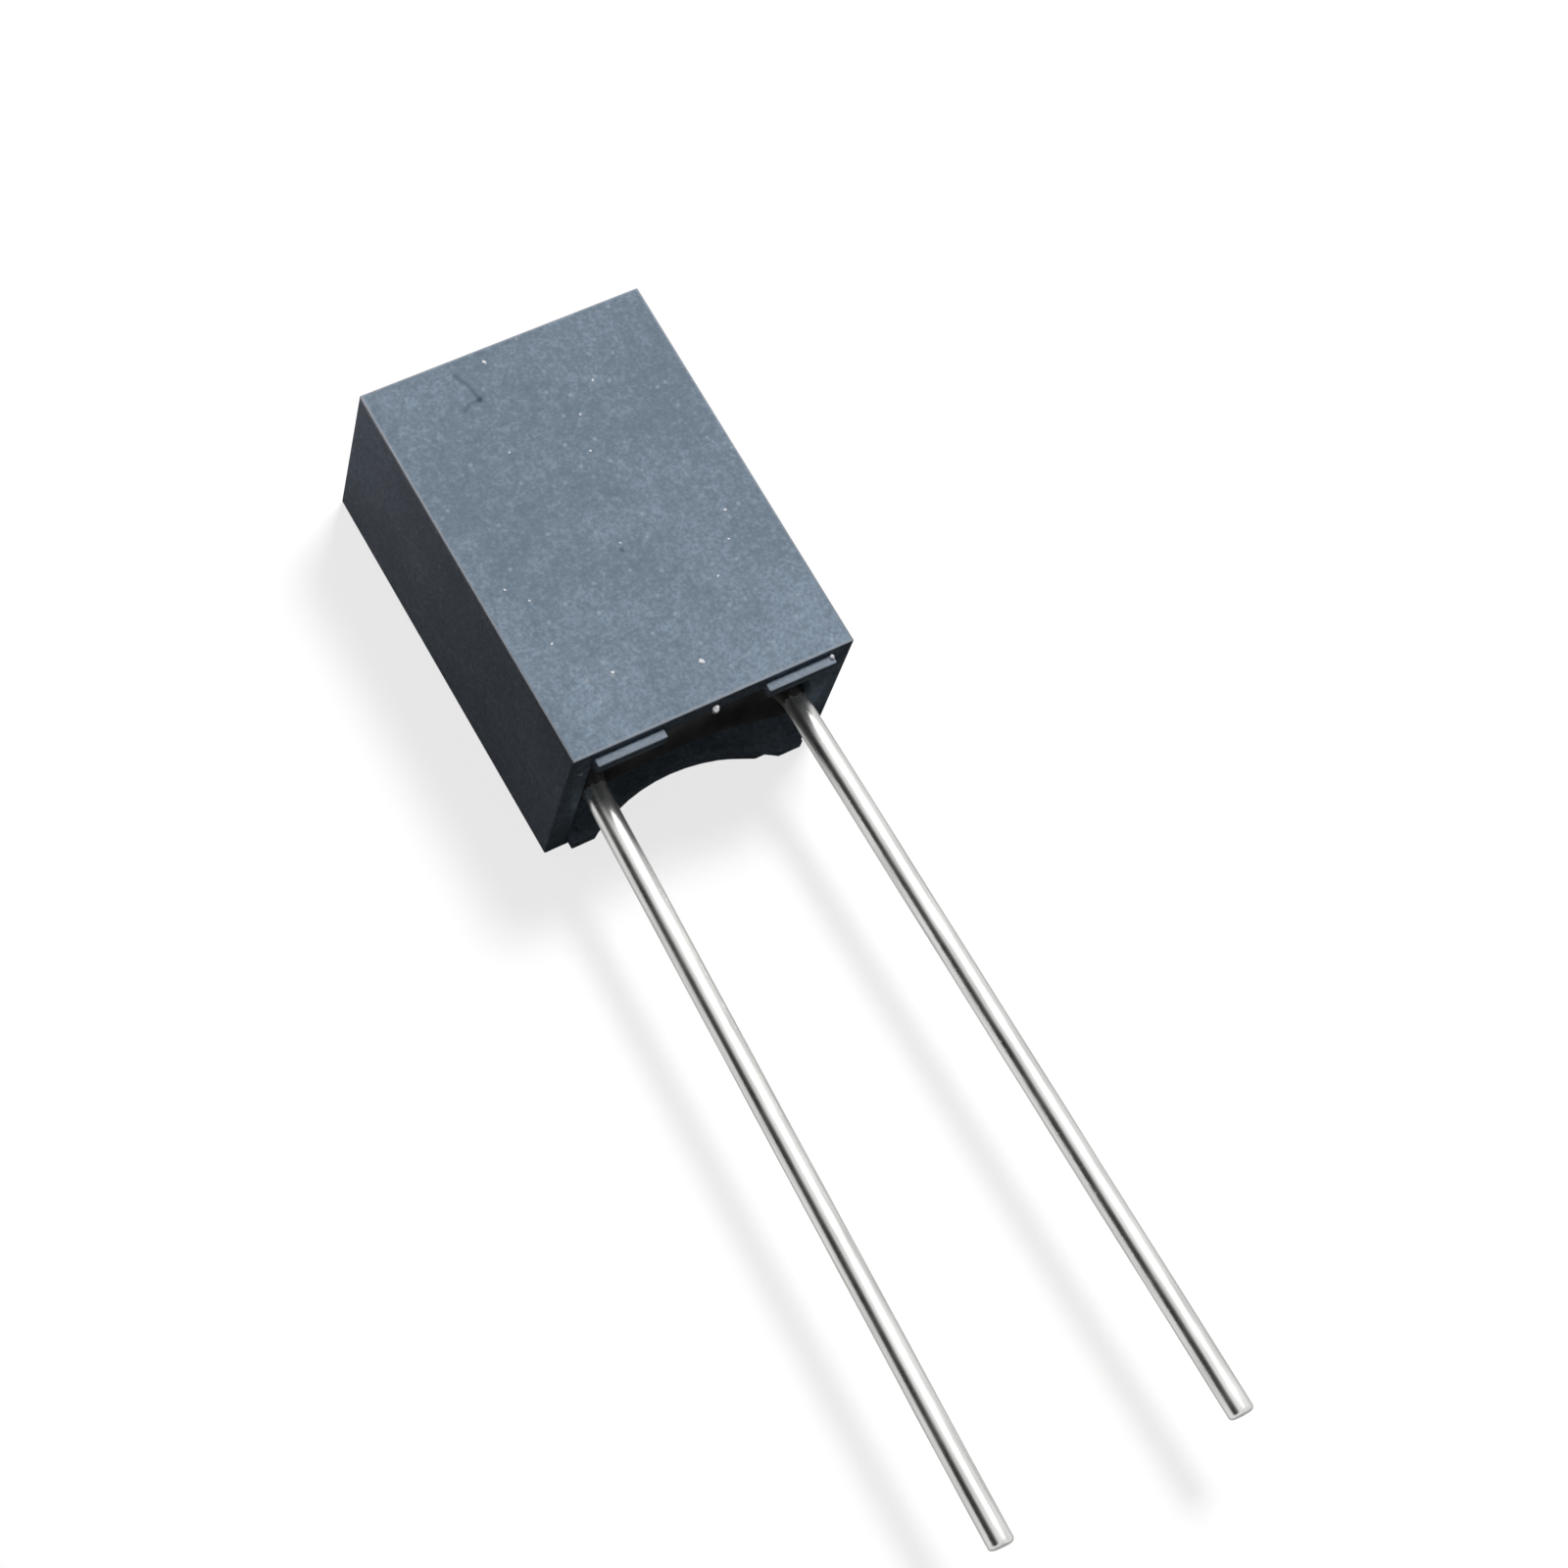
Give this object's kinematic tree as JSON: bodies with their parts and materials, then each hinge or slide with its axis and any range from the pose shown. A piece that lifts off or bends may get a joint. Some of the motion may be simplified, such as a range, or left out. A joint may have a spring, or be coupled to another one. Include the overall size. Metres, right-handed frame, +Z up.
{
  "type": "film capacitor",
  "caption": "Box-type film capacitor: a moulded case with standoff feet, potted with resin round a wound film element, and straight tinned radial leads for a circuit board.",
  "frame": {"origin": "middle of the lower broad face, on the surface it lies on", "axes": "+X across the two leads, +Y from the lead end to the closed end, +Z up through the thickness"},
  "size_m": [0.0072, 0.0287, 0.0048],
  "materials": {
    "case_plastic": "fine spark-eroded matte, slate grey",
    "potting_resin": "dark cast epoxy, half gloss",
    "metallised_film": "silvery vapour-coated film edges",
    "sprayed_zinc": "rough flame-sprayed zinc",
    "tinned_wire": "bright hot-dipped tin"
  },
  "bodies": {
    "root": {"case": "case_plastic", "resin_fill": "potting_resin", "film_winding": "metallised_film", "end_spray_left": "sprayed_zinc", "end_spray_right": "sprayed_zinc", "lead_left": "tinned_wire", "lead_right": "tinned_wire"}
  },
  "joints": []
}
